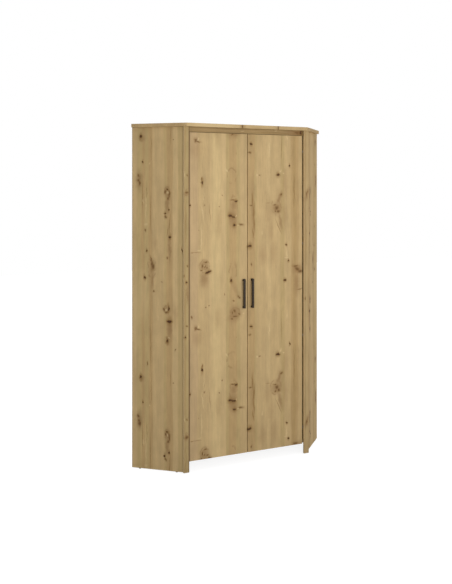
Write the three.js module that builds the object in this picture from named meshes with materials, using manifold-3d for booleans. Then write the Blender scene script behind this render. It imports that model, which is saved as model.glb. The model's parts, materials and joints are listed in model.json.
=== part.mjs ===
// Corner wardrobe with two doors across its diagonal front.
// Millimetres, +Z up. The doors face -Y, and the room's corner is at +Y.
// The origin is on the floor, under the middle of the top panel's bounding box.
import * as THREE from "three";
import { mergeVertices } from "three/addons/utils/BufferGeometryUtils.js";
import Module from "manifold-3d";

const wasm = await Module();
wasm.setup();

// Overall sizes of the top panel and the carcass
const wallLength = 969; // the top's edge along each wall
const sideDepth = 360; // the top's edge square to each wall
const totalHeight = 2106;
const topThickness = 22;
const boardThickness = 16;
const backThickness = 3;
const topSideOverhang = 14;
const topFrontOverhang = 10;
const edgeRounding = 0.8;

// Clearances
const seatGap = 0.3; // between pieces that rest on each other at 45 degrees
const boreGap = 0.3; // round a fitting in its bore
const cutOverrun = 2;

// Front posts, on the side panels' front edges
const stileWidth = 36.5;
const stileThickness = 12;
const stileOverlap = 11.7; // past the side panel's outer face

// Doors, between the stiles
const doorThickness = 16;
const doorSetBack = 16; // behind the front of the stiles
const doorSideGap = 3;
const doorMiddleGap = 4;
const doorFootGap = 65;
const doorTopGap = 2;

// Rail above the doors, floor of the wardrobe, hat shelf and corner board
const topRailHeight = 31;
const floorPanelUnderside = 66;
const doorStopGap = 2;
const shelfHeadroom = 328; // between the hat shelf and the top panel
const shelfSetBack = 20; // behind the floor panel's front edge
const cornerBoardWidth = 100;

// Glides and the middle foot
const glideHeight = 5;
const glideRadius = 7.5;
const rearGlideFromRear = 46;
const frontGlideFromFront = 54;
const footRadius = 24;
const footBaseHeight = 8;
const footStemRadius = 15;
const footPlateRadius = 30;
const footPlateHeight = 4;
const footFromFront = 330;

// Handles
const handleLength = 182;
const handleWidth = 12;
const handleBarThickness = 10;
const handleProjection = 22;
const handleFromDoorEdge = 28;
const handleCornerRadius = 3;
const handleScrewRadius = 2;
const handleScrewGrip = 8; // into the handle's leg
const screwHeadRadius = 4;
const screwHeadHeight = 2.4;

// Concealed hinges: a cup in the door, and an arm on the side panel
const hingeCount = 4; // on each door, evenly spaced
const hingeFromDoorEnd = 100;
const cupRadius = 17.2;
const cupDepth = 11.4;
const cupWall = 1.6;
const cupFromDoorEdge = 22.5;
const flangeLength = 62;
const flangeWidth = 20;
const flangeThickness = 1.2;
const armGap = 0.4;
const armWidth = 12;
const armThickness = 14;
const armHeight = 14;
const platePadThickness = 10;
const plateLength = 28;
const plateWingThickness = 2.5;
const plateWingWidth = 18;
const plateWingHeight = 50;
const plateFromFront = 37;

// Hanging rail under the hat shelf
const railRadius = 12.5;
const railWall = 1.2;
const railLength = 680;
const railDrop = 60; // its centre below the shelf
const railFromFront = 380;
const bracketInset = 20; // from the end of the rail
const bracketThickness = 10;
const bracketRing = 4;
const bracketPlateThickness = 3;
const bracketPlateLength = 52;
const bracketPlateWidth = 30;

// Shelf pins, cam fittings and door bumpers
const pinRadius = 2.5;
const pinReach = 9;
const pinGrip = 8;
const pinsFromRear = [60, 250];
const camRadius = 7.2;
const camLength = 12.2;
const camFromEdge = 34;
const camsFromRear = [70, 240];
const bumperRadius = 4;
const bumperFromDoorEdge = 22;

const roundSegments = 24;
const smallSegments = 12;

// Places that follow from the sizes. "Back" is the distance behind the top's front edge.
const rootTwo = Math.SQRT2;
const depth = (wallLength + sideDepth) / rootTwo;
const topUnderside = totalHeight - topThickness;
const panelHeight = topUnderside - glideHeight;
const stileBack = topFrontOverhang + stileThickness;
const doorFront = topFrontOverhang + doorSetBack;
const doorBack = doorFront + doorThickness;
const doorHeight = topUnderside - topRailHeight - doorTopGap - doorFootGap;
const floorFront = doorBack + doorStopGap;
const shelfFront = floorFront + shelfSetBack;
const shelfUnderside = topUnderside - shelfHeadroom - boardThickness;

// A side panel's faces run at 45 degrees, so x minus back is the same all along each
const topSideLine = (wallLength - sideDepth) / rootTwo;
const outerLine = topSideLine - topSideOverhang * rootTwo;
const innerLine = outerLine - boardThickness * rootTwo;
const panelSeatLine = innerLine - seatGap * rootTwo;

// The walls run at 45 degrees too, so x plus back is the same all along each
const rearSeatLine = depth - (backThickness + seatGap) * rootTwo;
const sideRearX = (rearSeatLine + outerLine) / 2;
const sideRearBack = (rearSeatLine - outerLine) / 2;
const cornerRear = rearSeatLine - cornerBoardWidth / 2;
const cornerFront = cornerRear - boardThickness;

const stileOuter = outerLine + stileBack + stileOverlap;
const stileInner = stileOuter - stileWidth;
const doorOuter = stileInner - doorSideGap;
const sides = { left: -1, right: 1 };

function oakDecor() {
  return new THREE.MeshStandardMaterial({ color: 0xb89f72, roughness: 0.55, metalness: 0 });
}

function hardboard() {
  return new THREE.MeshStandardMaterial({ color: 0x8d6f4c, roughness: 0.8, metalness: 0 });
}

function darkMetal() {
  return new THREE.MeshStandardMaterial({ color: 0x302c28, roughness: 0.42, metalness: 0.6 });
}

function nickel() {
  return new THREE.MeshStandardMaterial({ color: 0xb9b7b2, roughness: 0.3, metalness: 1 });
}

function chrome() {
  return new THREE.MeshStandardMaterial({ color: 0xd2d3d4, roughness: 0.15, metalness: 1 });
}

function blackPlastic() {
  return new THREE.MeshStandardMaterial({ color: 0x1d1c1b, roughness: 0.6, metalness: 0 });
}

function clearPlastic() {
  return new THREE.MeshStandardMaterial({ color: 0xdcdad4, roughness: 0.35, metalness: 0 });
}

const wardrobe = new THREE.Group();

function addPiece(name, geometry, material) {
  const mesh = new THREE.Mesh(geometry, material);
  mesh.name = name;
  wardrobe.add(mesh);
}

// A closed geometry as a solid that can be joined and cut, and back again
function solidOf(geometry) {
  const bare = geometry.clone();
  bare.deleteAttribute("normal");
  bare.deleteAttribute("uv");
  const merged = mergeVertices(bare);
  const vertProperties = new Float32Array(merged.attributes.position.array);
  const triVerts = new Uint32Array(merged.index.array);
  return new wasm.Manifold(new wasm.Mesh({ numProp: 3, vertProperties, triVerts }));
}

function geometryOf(solid) {
  const { vertProperties, triVerts } = solid.getMesh();
  const geometry = new THREE.BufferGeometry();
  geometry.setAttribute("position", new THREE.BufferAttribute(vertProperties, 3));
  geometry.setIndex(new THREE.BufferAttribute(triVerts, 1));
  geometry.computeVertexNormals();
  return geometry;
}

function cut(geometry, tools) {
  const start = solidOf(geometry);
  return geometryOf(tools.reduce((solid, tool) => solid.subtract(solidOf(tool)), start));
}

function join(first, ...others) {
  const start = solidOf(first);
  return geometryOf(others.reduce((solid, other) => solid.add(solidOf(other)), start));
}

// A plan outline, given as [x, back] points, raised from one height to another
function raise(points, bottom, height, rounding = 0) {
  const outline = points.map(([x, back]) => new THREE.Vector2(x, back - depth / 2));
  const geometry = new THREE.ExtrudeGeometry(new THREE.Shape(outline), {
    depth: height - 2 * rounding,
    bevelEnabled: rounding > 0,
    bevelSize: rounding,
    bevelThickness: rounding,
    bevelOffset: -rounding,
    bevelSegments: 1,
  });
  return geometry.translate(0, 0, bottom + rounding);
}

// The same outline with each corner cut back a little, for a board's upright edges
function eased(points, size) {
  return points.flatMap((point, index) => {
    const here = new THREE.Vector2(...point);
    const last = new THREE.Vector2(...points.at(index - 1));
    const next = new THREE.Vector2(...points[(index + 1) % points.length]);
    const towards = (other) => other.sub(here).setLength(size).add(here).toArray();
    return [towards(last), towards(next)];
  });
}

function board(points, bottom, height) {
  return raise(eased(points, edgeRounding), bottom, height, edgeRounding);
}

function onSide(points, side) {
  return points.map(([x, back]) => [x * side, back]);
}

function bothSides(points) {
  return [...points, ...onSide(points, sides.left).reverse()];
}

// A cylinder along +Y before it is turned, with its near end at the origin
function rod(radius, length, segments = roundSegments) {
  return new THREE.CylinderGeometry(radius, radius, length, segments).translate(0, length / 2, 0);
}

function place(geometry, x, back, z) {
  return geometry.translate(x, back - depth / 2, z);
}

// A point on a side panel: so far forward of its rear edge, so far in from its outer face
function sidePoint(side, fromRear, inward) {
  const x = sideRearX - (fromRear + inward) / rootTwo;
  const back = sideRearBack + (inward - fromRear) / rootTwo;
  return [x * side, back];
}

// Turns a shape made along +Y to point into the wardrobe from a side panel
function turnInward(geometry, side) {
  return geometry.rotateZ((side * Math.PI) / 4);
}

function makeTopPanel() {
  const edge = [
    [topSideLine, 0],
    [topSideLine + sideDepth / rootTwo, sideDepth / rootTwo],
    [0, depth],
  ];
  const outline = [...edge, ...onSide(edge.slice(0, 2), sides.left).reverse()];
  addPiece("top_panel", board(outline, topUnderside, topThickness), oakDecor());
}

// The bores in a side panel's inner face, for shelf pins and cams
function sideBores(side) {
  const bore = (radius, grip, fromRear, height) => {
    const tool = rod(radius + boreGap, grip + boreGap + cutOverrun, smallSegments);
    const inward = boardThickness - grip - boreGap;
    return place(turnInward(tool, side), ...sidePoint(side, fromRear, inward), height);
  };
  const pins = pinsFromRear.map((fromRear) => bore(pinRadius, pinGrip, fromRear, pinHeight()));
  const cams = camsFromRear.map((fromRear) => bore(camRadius, camLength, fromRear, topCamHeight()));
  return [...pins, ...cams];
}

function pinHeight() {
  return shelfUnderside - seatGap - pinRadius;
}

function topCamHeight() {
  return topUnderside - camFromEdge;
}

function makeSidePanel(name, side) {
  const thicknessAcross = boardThickness / rootTwo;
  const outline = [
    [outerLine + stileBack, stileBack],
    [sideRearX, sideRearBack],
    [sideRearX - thicknessAcross, sideRearBack + thicknessAcross],
    [innerLine + stileBack, stileBack],
  ];
  const plain = raise(onSide(outline, side), glideHeight, panelHeight);
  addPiece(`${name}_side_panel`, cut(plain, sideBores(side)), oakDecor());
}

function makeStile(name, side) {
  const outline = [
    [stileInner, topFrontOverhang],
    [stileOuter, topFrontOverhang],
    [stileOuter, stileBack],
    [stileInner, stileBack],
  ];
  addPiece(`${name}_stile`, board(onSide(outline, side), glideHeight, panelHeight), oakDecor());
}

function makeTopRail() {
  const railBack = doorFront + boardThickness;
  const outline = bothSides([
    [panelSeatLine + doorFront, doorFront],
    [panelSeatLine + railBack, railBack],
  ]);
  const bottom = topUnderside - topRailHeight;
  addPiece("top_rail", raise(outline, bottom, topRailHeight), oakDecor());
}

// The plan that the floor panel and the hat shelf share, from a given front edge
function insideOutline(front) {
  return bothSides([
    [panelSeatLine + front, front],
    [(rearSeatLine + panelSeatLine) / 2, (rearSeatLine - panelSeatLine) / 2],
    [rearSeatLine - cornerFront, cornerFront],
  ]);
}

function floorCamPlaces(side) {
  const inward = boardThickness + seatGap + camFromEdge;
  return camsFromRear.map((fromRear) => sidePoint(side, fromRear, inward));
}

function uprightRod(radius, length, segments) {
  return rod(radius, length, segments).rotateX(Math.PI / 2);
}

function makeFloorPanel() {
  const plain = board(insideOutline(floorFront), floorPanelUnderside, boardThickness);
  const bores = Object.values(sides).flatMap((side) =>
    floorCamPlaces(side).map(([x, back]) => {
      const tool = uprightRod(camRadius + boreGap, camLength + boreGap + cutOverrun, smallSegments);
      return place(tool, x, back, floorPanelUnderside - cutOverrun);
    }),
  );
  addPiece("floor_panel", cut(plain, bores), oakDecor());
}

function makeHatShelf() {
  const geometry = board(insideOutline(shelfFront), shelfUnderside, boardThickness);
  addPiece("hat_shelf", geometry, oakDecor());
}

function makeBackPanel(name, side) {
  const innerFace = depth - backThickness * rootTwo;
  const outerRearX = (depth + outerLine) / 2;
  const cornerX = cornerBoardWidth / 2 + seatGap;
  const outline = [
    [outerRearX, depth - outerRearX],
    [cornerX, depth - cornerX],
    [cornerX, innerFace - cornerX],
    [(innerFace + outerLine) / 2, (innerFace - outerLine) / 2],
  ];
  const geometry = raise(onSide(outline, side), glideHeight, panelHeight);
  addPiece(`${name}_back_panel`, geometry, hardboard());
}

function makeCornerBoard() {
  const outline = bothSides([
    [rearSeatLine - cornerFront, cornerFront],
    [rearSeatLine - cornerRear, cornerRear],
  ]);
  const plain = raise(outline, glideHeight, panelHeight);
  const bore = rod(pinRadius + boreGap, pinGrip + boreGap + cutOverrun, smallSegments);
  const tool = place(bore, 0, cornerFront - cutOverrun, pinHeight());
  addPiece("rear_corner_board", cut(plain, [tool]), oakDecor());
}

function hingeHeights() {
  const spacing = (doorHeight - 2 * hingeFromDoorEnd) / (hingeCount - 1);
  const lowest = doorFootGap + hingeFromDoorEnd;
  return Array.from({ length: hingeCount }, (_, index) => lowest + index * spacing);
}

function handleLegHeights() {
  const middle = doorFootGap + doorHeight / 2;
  const reach = (handleLength - handleWidth) / 2;
  return { lower: middle - reach, upper: middle + reach };
}

function doorBores(side) {
  const cupX = side * (doorOuter - cupFromDoorEdge);
  const handleX = side * (doorMiddleGap / 2 + handleFromDoorEdge);
  const cupBoreDepth = cupDepth + boreGap;
  const cups = hingeHeights().map((height) => {
    const tool = rod(cupRadius + boreGap, cupBoreDepth + cutOverrun);
    return place(tool, cupX, doorBack - cupBoreDepth, height);
  });
  const screws = Object.values(handleLegHeights()).map((height) => {
    const tool = rod(handleScrewRadius + boreGap, doorThickness + 2 * cutOverrun, smallSegments);
    return place(tool, handleX, doorFront - cutOverrun, height);
  });
  return [...cups, ...screws];
}

function makeDoor(name, side) {
  const outline = [
    [doorMiddleGap / 2, doorFront],
    [doorOuter, doorFront],
    [doorOuter, doorBack],
    [doorMiddleGap / 2, doorBack],
  ];
  const plain = board(onSide(outline, side), doorFootGap, doorHeight);
  addPiece(`${name}_door`, cut(plain, doorBores(side)), oakDecor());
}

// The bow handle's side view, as [distance out of the door, height] points
function handleProfile() {
  const half = handleLength / 2;
  const inside = half - handleWidth;
  const gripFace = handleProjection - handleBarThickness;
  const shape = new THREE.Shape();
  shape.moveTo(0, -half);
  shape.lineTo(handleProjection - handleCornerRadius, -half);
  shape.quadraticCurveTo(handleProjection, -half, handleProjection, handleCornerRadius - half);
  shape.lineTo(handleProjection, half - handleCornerRadius);
  shape.quadraticCurveTo(handleProjection, half, handleProjection - handleCornerRadius, half);
  shape.lineTo(0, half);
  shape.lineTo(0, inside);
  shape.lineTo(gripFace, inside);
  shape.lineTo(gripFace, -inside);
  shape.lineTo(0, -inside);
  return shape;
}

function makeHandle(name, side) {
  const legs = handleLegHeights();
  const middle = (legs.lower + legs.upper) / 2;
  const handleX = side * (doorMiddleGap / 2 + handleFromDoorEdge);
  const bow = new THREE.ExtrudeGeometry(handleProfile(), {
    depth: handleWidth,
    bevelEnabled: false,
    curveSegments: 3,
  });
  // The profile's first axis turns to point out of the door, and its second stays upright
  bow.translate(0, 0, -handleWidth / 2).rotateX(Math.PI / 2).rotateZ(-Math.PI / 2);
  const gripBores = Object.values(legs).map((height) => {
    const tool = rod(handleScrewRadius + boreGap, handleScrewGrip + boreGap + cutOverrun, smallSegments);
    return place(tool, handleX, doorFront - handleScrewGrip - boreGap, height);
  });
  const placed = place(bow, handleX, doorFront, middle);
  addPiece(`${name}_handle`, cut(placed, gripBores), darkMetal());
}

function makeHandleScrews(name, side) {
  const handleX = side * (doorMiddleGap / 2 + handleFromDoorEdge);
  const shankLength = handleScrewGrip + doorThickness + screwHeadHeight / 2;
  Object.entries(handleLegHeights()).forEach(([end, height]) => {
    const shank = rod(handleScrewRadius, shankLength, smallSegments);
    const head = rod(screwHeadRadius, screwHeadHeight, smallSegments);
    const geometry = join(
      place(shank, handleX, doorFront - handleScrewGrip, height),
      place(head, handleX, doorBack, height),
    );
    addPiece(`${name}_handle_screw_${end}`, geometry, nickel());
  });
}

function makeHingeCup(name, side, height) {
  const cupX = side * (doorOuter - cupFromDoorEdge);
  const body = place(rod(cupRadius, cupDepth + flangeThickness), cupX, doorBack - cupDepth, height);
  const flange = new THREE.BoxGeometry(flangeWidth, flangeThickness, flangeLength);
  const hollow = rod(cupRadius - cupWall, cupDepth + flangeThickness + cutOverrun);
  const cup = join(body, place(flange, cupX, doorBack + flangeThickness / 2, height));
  const tool = place(hollow, cupX, doorBack - cupDepth + cupWall, height);
  addPiece(name, cut(cup, [tool]), nickel());
}

function makeHingeArm(name, side, height) {
  const cupX = doorOuter - cupFromDoorEdge;
  const armFront = doorBack + flangeThickness + armGap;
  const sideLength = (sideRearX - outerLine - stileBack) * rootTwo;
  // The panel's inner face starts a board's thickness further forward than its outer one
  const plateMiddle = sideLength + boardThickness - plateFromFront;
  const faceInward = boardThickness + seatGap;
  const padInward = faceInward + platePadThickness;
  const nearEnd = plateMiddle + plateLength / 2;
  const farEnd = plateMiddle - plateLength / 2;
  const arm = [
    [cupX - armWidth / 2, armFront],
    [cupX + armWidth / 2, armFront],
    sidePoint(sides.right, nearEnd, padInward),
    sidePoint(sides.right, nearEnd, faceInward),
    sidePoint(sides.right, farEnd, faceInward),
    sidePoint(sides.right, farEnd, padInward),
    [cupX + armWidth / 2, armFront + armThickness],
    [cupX - armWidth / 2, armFront + armThickness],
  ];
  const wing = [
    sidePoint(sides.right, plateMiddle + plateWingWidth / 2, faceInward),
    sidePoint(sides.right, plateMiddle - plateWingWidth / 2, faceInward),
    sidePoint(sides.right, plateMiddle - plateWingWidth / 2, faceInward + plateWingThickness),
    sidePoint(sides.right, plateMiddle + plateWingWidth / 2, faceInward + plateWingThickness),
  ];
  const geometry = join(
    raise(onSide(arm, side), height - armHeight / 2, armHeight),
    raise(onSide(wing, side), height - plateWingHeight / 2, plateWingHeight),
  );
  addPiece(name, geometry, nickel());
}

function makeHinges(name, side) {
  hingeHeights().forEach((height, index) => {
    makeHingeCup(`${name}_hinge_cup_${index + 1}`, side, height);
    makeHingeArm(`${name}_hinge_arm_${index + 1}`, side, height);
  });
}

function makeBumper(name, side) {
  const x = side * (doorMiddleGap / 2 + bumperFromDoorEdge);
  const height = floorPanelUnderside + boardThickness / 2;
  const geometry = rod(bumperRadius, doorStopGap - seatGap, smallSegments);
  addPiece(`${name}_door_bumper`, place(geometry, x, doorBack, height), clearPlastic());
}

function makeHangingRail() {
  const height = shelfUnderside - railDrop;
  const tube = rod(railRadius, railLength);
  const hollow = rod(railRadius - railWall, railLength + 2 * cutOverrun).translate(0, -cutOverrun, 0);
  const rail = cut(tube, [hollow]).rotateZ(-Math.PI / 2);
  addPiece("hanging_rail", place(rail, -railLength / 2, railFromFront, height), chrome());
}

function makeRailBracket(name, side) {
  const ringRadius = railRadius + boreGap + bracketRing;
  const x = side * (railLength / 2 - bracketInset) - bracketThickness / 2;
  const height = shelfUnderside - railDrop;
  const ring = rod(ringRadius, bracketThickness).rotateZ(-Math.PI / 2);
  const strap = new THREE.BoxGeometry(bracketThickness, 2 * ringRadius, railDrop);
  const plate = new THREE.BoxGeometry(bracketPlateWidth, bracketPlateLength, bracketPlateThickness);
  const hole = rod(railRadius + boreGap, bracketThickness + 2 * cutOverrun).rotateZ(-Math.PI / 2);
  const middleX = x + bracketThickness / 2;
  const plateMiddle = shelfUnderside - bracketPlateThickness / 2;
  const whole = join(
    place(ring, x, railFromFront, height),
    place(strap, middleX, railFromFront, height + railDrop / 2),
    place(plate, middleX, railFromFront, plateMiddle),
  );
  const tool = place(hole, x - cutOverrun, railFromFront, height);
  addPiece(`${name}_rail_bracket`, cut(whole, [tool]), chrome());
}

function makeShelfPins() {
  Object.entries(sides).forEach(([name, side]) => {
    pinsFromRear.forEach((fromRear, index) => {
      const pin = turnInward(rod(pinRadius, pinGrip + pinReach, smallSegments), side);
      const [x, back] = sidePoint(side, fromRear, boardThickness - pinGrip);
      const label = index === 0 ? "rear" : "front";
      addPiece(`${name}_shelf_pin_${label}`, place(pin, x, back, pinHeight()), nickel());
    });
  });
  const cornerPin = rod(pinRadius, pinGrip + pinReach, smallSegments);
  const placed = place(cornerPin, 0, cornerFront - pinReach, pinHeight());
  addPiece("corner_shelf_pin", placed, nickel());
}

function makeCams(name, side) {
  camsFromRear.forEach((fromRear, index) => {
    const label = index === 0 ? "rear" : "front";
    const topCam = turnInward(rod(camRadius, camLength, smallSegments), side);
    const topPlace = sidePoint(side, fromRear, boardThickness - camLength);
    addPiece(`${name}_top_cam_${label}`, place(topCam, ...topPlace, topCamHeight()), nickel());
    const floorCam = uprightRod(camRadius, camLength, smallSegments);
    const [x, back] = floorCamPlaces(side)[index];
    addPiece(`${name}_floor_cam_${label}`, place(floorCam, x, back, floorPanelUnderside), nickel());
  });
}

function makeGlides() {
  const panelMiddle = boardThickness / 2;
  const sideLength = (sideRearX - outerLine - stileBack) * rootTwo;
  const places = { rear: rearGlideFromRear, front: sideLength - frontGlideFromFront };
  Object.entries(sides).forEach(([name, side]) => {
    Object.entries(places).forEach(([end, fromRear]) => {
      const [x, back] = sidePoint(side, fromRear, panelMiddle);
      const glide = uprightRod(glideRadius, glideHeight, smallSegments);
      addPiece(`${name}_${end}_glide`, place(glide, x, back, 0), blackPlastic());
    });
  });
  const cornerGlide = uprightRod(glideRadius, glideHeight, smallSegments);
  const cornerMiddle = (cornerFront + cornerRear) / 2;
  addPiece("corner_glide", place(cornerGlide, 0, cornerMiddle, 0), blackPlastic());
}

function makeMiddleFoot() {
  const plateBottom = floorPanelUnderside - footPlateHeight;
  const profile = [
    [0, 0],
    [footRadius, 0],
    [footRadius, footBaseHeight],
    [footStemRadius, footBaseHeight + footRadius - footStemRadius],
    [footStemRadius, plateBottom],
    [footPlateRadius, plateBottom],
    [footPlateRadius, floorPanelUnderside],
    [0, floorPanelUnderside],
  ].map(([radius, height]) => new THREE.Vector2(radius, height));
  const foot = new THREE.LatheGeometry(profile, roundSegments).rotateX(Math.PI / 2);
  addPiece("middle_foot", place(foot, 0, footFromFront, 0), blackPlastic());
}

makeTopPanel();
makeTopRail();
makeFloorPanel();
makeHatShelf();
makeCornerBoard();
makeHangingRail();
makeMiddleFoot();
makeGlides();
makeShelfPins();
Object.entries(sides).forEach(([name, side]) => {
  makeSidePanel(name, side);
  makeStile(name, side);
  makeBackPanel(name, side);
  makeDoor(name, side);
  makeHandle(name, side);
  makeHandleScrews(name, side);
  makeHinges(name, side);
  makeBumper(name, side);
  makeRailBracket(name, side);
  makeCams(name, side);
});

export default wardrobe;
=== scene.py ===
"""Looks for the corner wardrobe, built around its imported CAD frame. Metres, +Z up, the doors face -Y."""

import json
import math

import bmesh
import bpy
from mathutils import Matrix, Vector


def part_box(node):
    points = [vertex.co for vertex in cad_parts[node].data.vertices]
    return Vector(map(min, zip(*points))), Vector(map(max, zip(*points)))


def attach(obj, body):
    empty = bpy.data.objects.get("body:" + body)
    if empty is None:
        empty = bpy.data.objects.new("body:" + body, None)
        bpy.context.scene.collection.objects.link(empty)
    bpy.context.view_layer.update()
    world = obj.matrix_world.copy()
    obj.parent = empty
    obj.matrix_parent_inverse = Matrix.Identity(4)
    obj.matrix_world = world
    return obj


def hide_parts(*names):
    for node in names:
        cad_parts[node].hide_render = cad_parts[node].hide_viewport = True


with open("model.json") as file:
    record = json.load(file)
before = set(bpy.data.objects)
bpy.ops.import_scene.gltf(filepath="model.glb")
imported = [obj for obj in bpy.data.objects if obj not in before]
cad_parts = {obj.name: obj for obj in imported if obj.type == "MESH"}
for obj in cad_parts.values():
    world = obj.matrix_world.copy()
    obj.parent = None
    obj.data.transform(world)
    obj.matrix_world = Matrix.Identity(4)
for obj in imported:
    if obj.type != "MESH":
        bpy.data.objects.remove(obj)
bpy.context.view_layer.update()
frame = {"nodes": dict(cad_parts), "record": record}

MM = 0.001
SIDES = {"left": -1, "right": 1}
DIAGONAL = math.sqrt(0.5)  # the share of a 45 degree length that runs along either level axis

# The photograph's camera: a level one with its shift downwards, as a fit to the photo gives it
IMAGE_HEIGHT_PX = 584
IMAGE_MIDDLE_PX = IMAGE_HEIGHT_PX / 2
HORIZON_PX = 190.03
FOCAL_PX = 875.27
SENSOR_MM = 36
CAMERA_AT = (-2.65266, -5.21950, 1.70178)
CAMERA_YAW = 0.4825  # radians, from +Y towards +X


def add_object(name, data):
    thing = bpy.data.objects.new(name, data)
    bpy.context.scene.collection.objects.link(thing)
    return thing


def make_camera():
    data = bpy.data.cameras.new("camera")
    data.sensor_width = SENSOR_MM
    data.lens = FOCAL_PX / IMAGE_HEIGHT_PX * SENSOR_MM
    data.shift_y = (HORIZON_PX - IMAGE_MIDDLE_PX) / IMAGE_HEIGHT_PX
    camera = add_object("camera", data)
    camera.location = CAMERA_AT
    camera.rotation_euler = (math.pi / 2, 0, -CAMERA_YAW)
    bpy.context.scene.camera = camera


def srgb(red, green, blue):
    """A colour written as 0 to 255 values, in the linear form that the nodes take."""

    def linear(value):
        share = value / 255
        return share / 12.92 if share <= 0.04045 else ((share + 0.055) / 1.055) ** 2.4

    return (linear(red), linear(green), linear(blue), 1.0)


NOISE_RANGE = (0.3, 0.7)  # where most of a noise's values lie
MIX_COLOURS = (6, 7)  # the numbers of a Mix node's colour inputs
MIX_RESULT = 2
RAMP_STOPS = 30  # a ramp node holds 32


class Shader:
    """The node tree of a material or of the world, with short ways to add nodes and link them."""

    def __init__(self, owner, surface="Principled BSDF"):
        owner.use_nodes = True
        self.owner = owner
        self.tree = owner.node_tree
        self.surface = self.tree.nodes[surface]

    def add(self, kind, inputs, **settings):
        node = self.tree.nodes.new("ShaderNode" + kind)
        for setting, value in settings.items():
            setattr(node, setting, value)
        for socket, value in inputs.items():
            self.feed(node.inputs[socket], value)
        return node

    def feed(self, socket, value):
        if isinstance(value, bpy.types.NodeSocket):
            self.tree.links.new(value, socket)
        else:
            socket.default_value = value

    def finish(self, **inputs):
        """Feeds the surface, and gives the material or the world back."""
        for name, value in inputs.items():
            self.feed(self.surface.inputs[name.replace("_", " ")], value)
        return self.owner

    def math(self, operation, *values, clamp=False):
        return self.add("Math", dict(enumerate(values)), operation=operation, use_clamp=clamp).outputs[0]

    def vector(self, operation, *values):
        node = self.add("VectorMath", dict(enumerate(values)), operation=operation)
        scalar = operation in ("LENGTH", "DOT_PRODUCT")
        return node.outputs["Value" if scalar else "Vector"]

    def joined(self, *parts):
        return self.add("CombineXYZ", dict(enumerate(parts))).outputs[0]

    def split(self, vector):
        return self.add("SeparateXYZ", {0: vector}).outputs

    def point(self):
        """The place on the piece at rest, in millimetres."""
        place = self.add("TexCoord", {}).outputs["Object"]
        return self.vector("MULTIPLY", place, (1 / MM,) * 3)

    def noise(self, vector, detail=2.0, roughness=0.5, output=0):
        inputs = {"Vector": vector, "Scale": 1.0, "Detail": detail, "Roughness": roughness}
        return self.add("TexNoise", inputs).outputs[output]

    def streaks(self, vector, width, length, seed, detail=2.0, roughness=0.5):
        """Noise in marks of about that width across the grain and length along it, in millimetres."""
        scaled = self.vector("MULTIPLY_ADD", vector, (1 / width, 1 / length, 1 / width), (seed,) * 3)
        return self.noise(scaled, detail, roughness)

    def specks(self, vector, per_millimetre, detail, roughness):
        """Noise that runs the same in all directions."""
        return self.noise(self.vector("MULTIPLY", vector, (per_millimetre,) * 3), detail, roughness)

    def mapped(self, value, low, high, to_low, to_high, **settings):
        inputs = {"Value": value, "From Min": low, "From Max": high, "To Min": to_low, "To Max": to_high}
        return self.add("MapRange", inputs, **settings).outputs[0]

    def smooth(self, value, low, high, to_low=0.0, to_high=1.0):
        """Goes from to_low to to_high as the value goes from low to high, with soft ends."""
        return self.mapped(value, low, high, to_low, to_high, interpolation_type="SMOOTHSTEP")

    def scaled(self, value, low, high, to_low, to_high):
        """The same in a straight line, which goes on past both ends."""
        return self.mapped(value, low, high, to_low, to_high, clamp=False)

    def shade(self, noise, spread):
        """A factor that follows a noise, from about 1 - spread to 1 + spread."""
        return self.scaled(noise, *NOISE_RANGE, 1 - spread, 1 + spread)

    def mix(self, share, first, second, blend="MIX"):
        inputs = {0: share, MIX_COLOURS[0]: first, MIX_COLOURS[1]: second}
        return self.add("Mix", inputs, data_type="RGBA", blend_type=blend).outputs[MIX_RESULT]

    def stain(self, colour, tone, distance, near, far, strength):
        """Puts a tone over the colour: with its full strength up to near, and none of it past far."""
        return self.mix(self.smooth(distance, near, far, strength, 0.0), colour, tone)

    def shaded(self, colour, *shades):
        """The colour made lighter or darker by each shade in turn."""
        total = shades[0]
        for shade in shades[1:]:
            total = self.math("MULTIPLY", total, shade)
        grey = self.add("CombineColor", {0: total, 1: total, 2: total}).outputs[0]
        return self.mix(1.0, colour, grey, "MULTIPLY")

    def ramp(self, value, stops, interpolation="LINEAR"):
        """A colour ramp with any number of stops, made of as many nodes as that takes."""
        first = stops[:RAMP_STOPS]
        rest = stops[RAMP_STOPS:]
        node = self.add("ValToRGB", {0: value})
        node.color_ramp.interpolation = interpolation
        elements = node.color_ramp.elements
        while len(elements) < len(first):
            elements.new(0.5)
        for element, (position, colour) in zip(elements, first):
            element.position = position
            element.color = colour
        if not rest:
            return node.outputs[0]
        past = self.math("GREATER_THAN", value, (first[-1][0] + rest[0][0]) / 2)
        return self.mix(past, node.outputs[0], self.ramp(value, rest, interpolation))

    def bump(self, height, strength, distance):
        inputs = {"Strength": strength, "Distance": distance, "Height": height}
        return self.add("Bump", inputs).outputs[0]


# Knotty oak decor. Places and sizes are millimetres in the board's own plane: across the grain, then
# along it. A mark is an ellipse: its middle across and along, its half width and half height, and where
# it leans, the degrees that it is turned. These are the kinds of marks:
# dark and soft: knots, and those with a softer, browner heart
# shades, faint and glow: broad patches that are darker, slightly darker and slightly lighter
# lines: thin dark cracks, seams and the rims of old branches
# arcs: rims of growth figure, drawn as lines along an ellipse
# pale: small light places

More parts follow.
